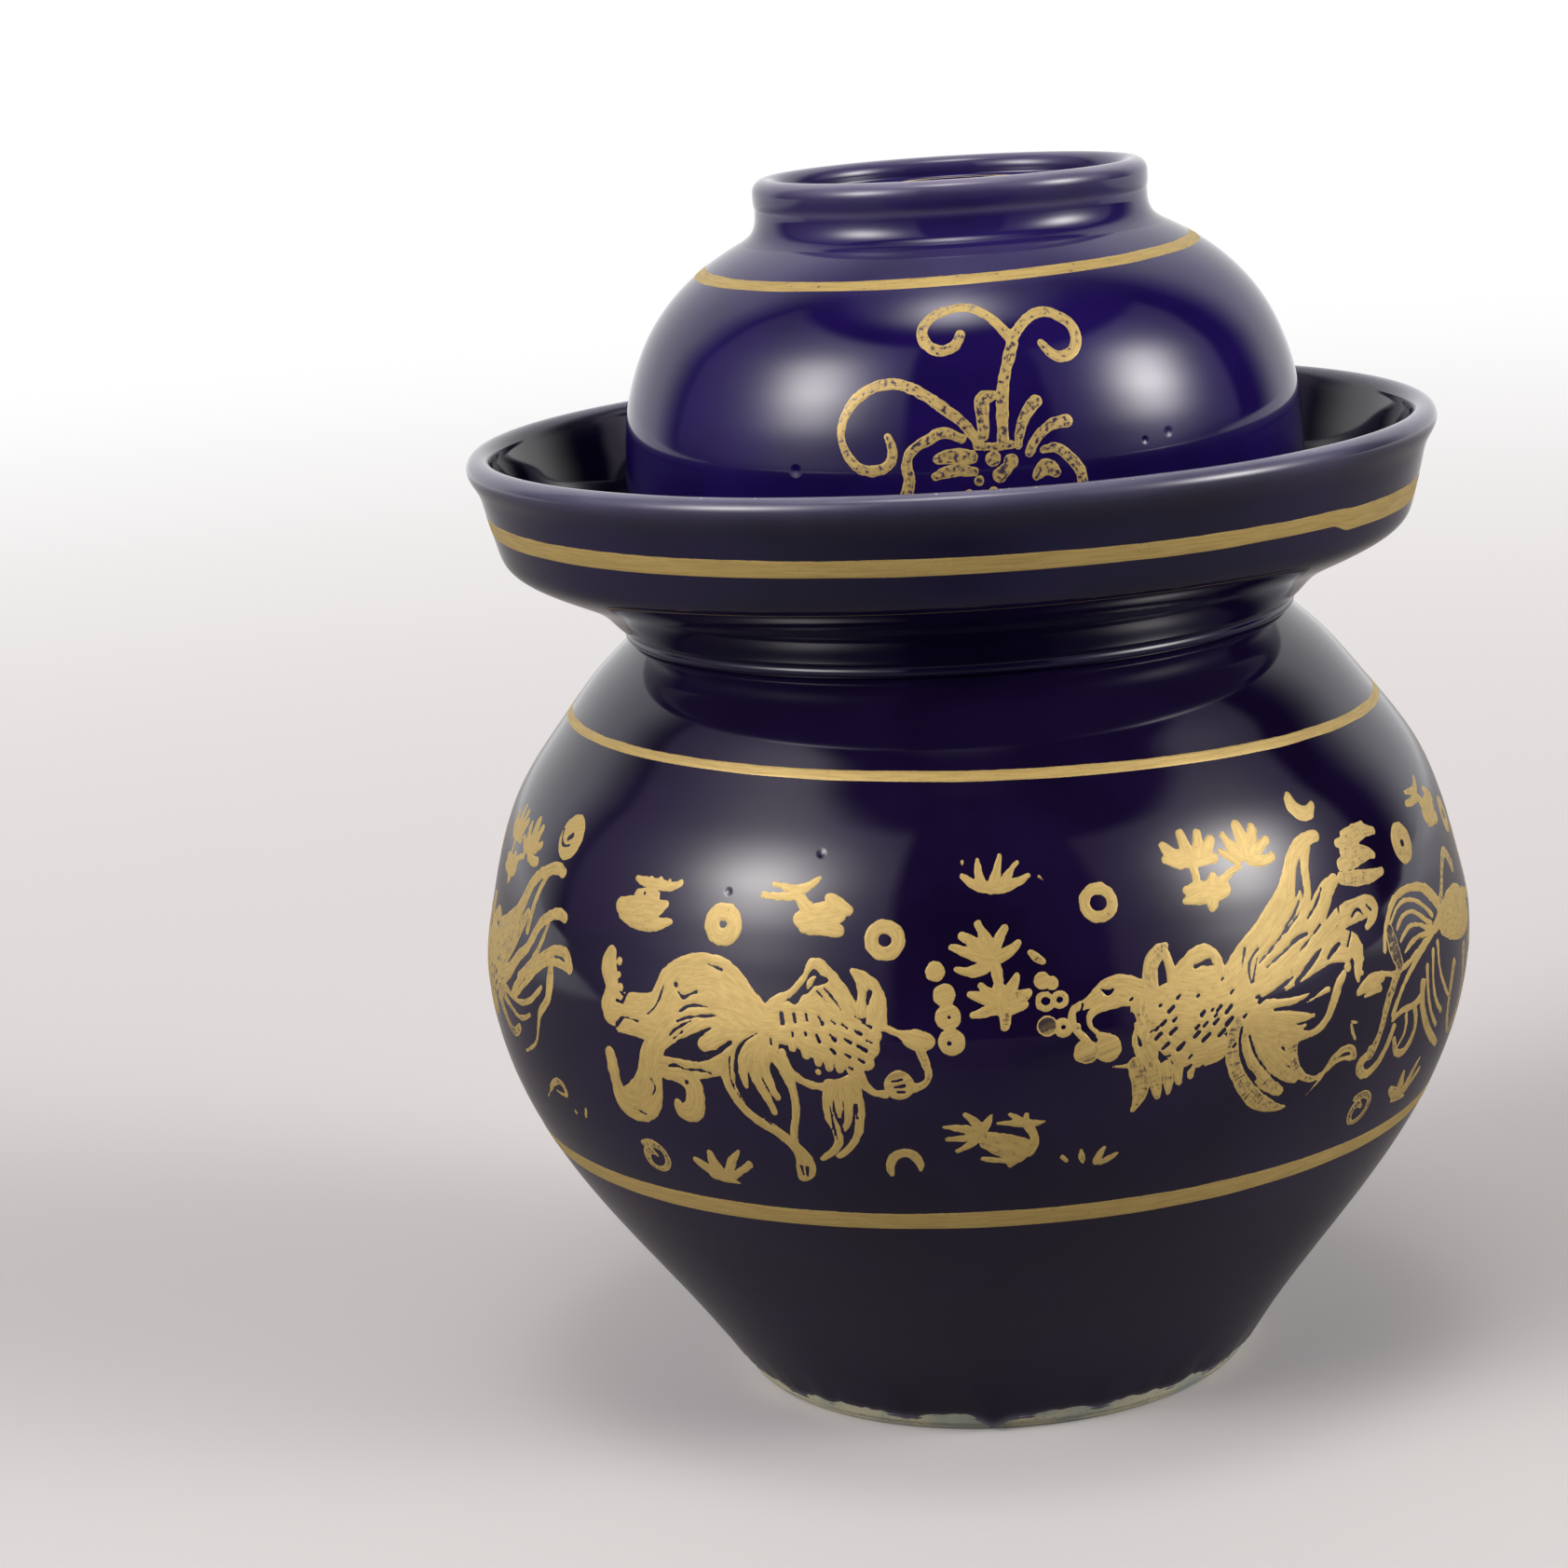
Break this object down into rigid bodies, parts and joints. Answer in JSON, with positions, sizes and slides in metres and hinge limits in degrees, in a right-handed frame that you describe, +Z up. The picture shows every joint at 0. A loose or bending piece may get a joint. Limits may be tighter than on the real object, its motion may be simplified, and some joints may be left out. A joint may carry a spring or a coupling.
{
  "type": "water seal pickle jar",
  "caption": "Round-bellied glazed stoneware pickle jar with a water trough round its neck, an upturned bowl for a lid that stands in the water, and a small knobbed inner lid.",
  "frame": {"origin": "centre of the foot's underside, on the surface that the jar stands on", "axes": "+Z up the jar's axis, -Y towards the picture's camera, +X to its right"},
  "size_m": [0.2178, 0.2178, 0.2657],
  "materials": {
    "jar_glaze": "deep cobalt blue glaze, high gloss",
    "trough_glaze": "cobalt blue glaze, thin and paler on the lip, high gloss",
    "lid_glaze": "violet cobalt blue glaze, high gloss",
    "inner_lid_glaze": "cobalt blue glaze, gloss",
    "gold_brushwork": "matt gold brushed on the glaze",
    "bare_clay": "unglazed fired stoneware"
  },
  "bodies": {
    "jar": {"jar_body": "jar_glaze", "mouth_collar": "jar_glaze", "water_trough": "trough_glaze"},
    "bowl_lid": {"bowl_lid": "lid_glaze", "lid_foot_ring": "lid_glaze"},
    "inner_lid": {"inner_lid": "inner_lid_glaze", "inner_lid_knob": "inner_lid_glaze"}
  },
  "joints": [
    {"name": "bowl_lid_lift", "type": "slide", "parent": "jar", "child": "bowl_lid", "axis": [0, 0, 1], "range_m": [0, 0.1]},
    {"name": "inner_lid_lift", "type": "slide", "parent": "jar", "child": "inner_lid", "axis": [0, 0, 1], "range_m": [0, 0.007]}
  ]
}
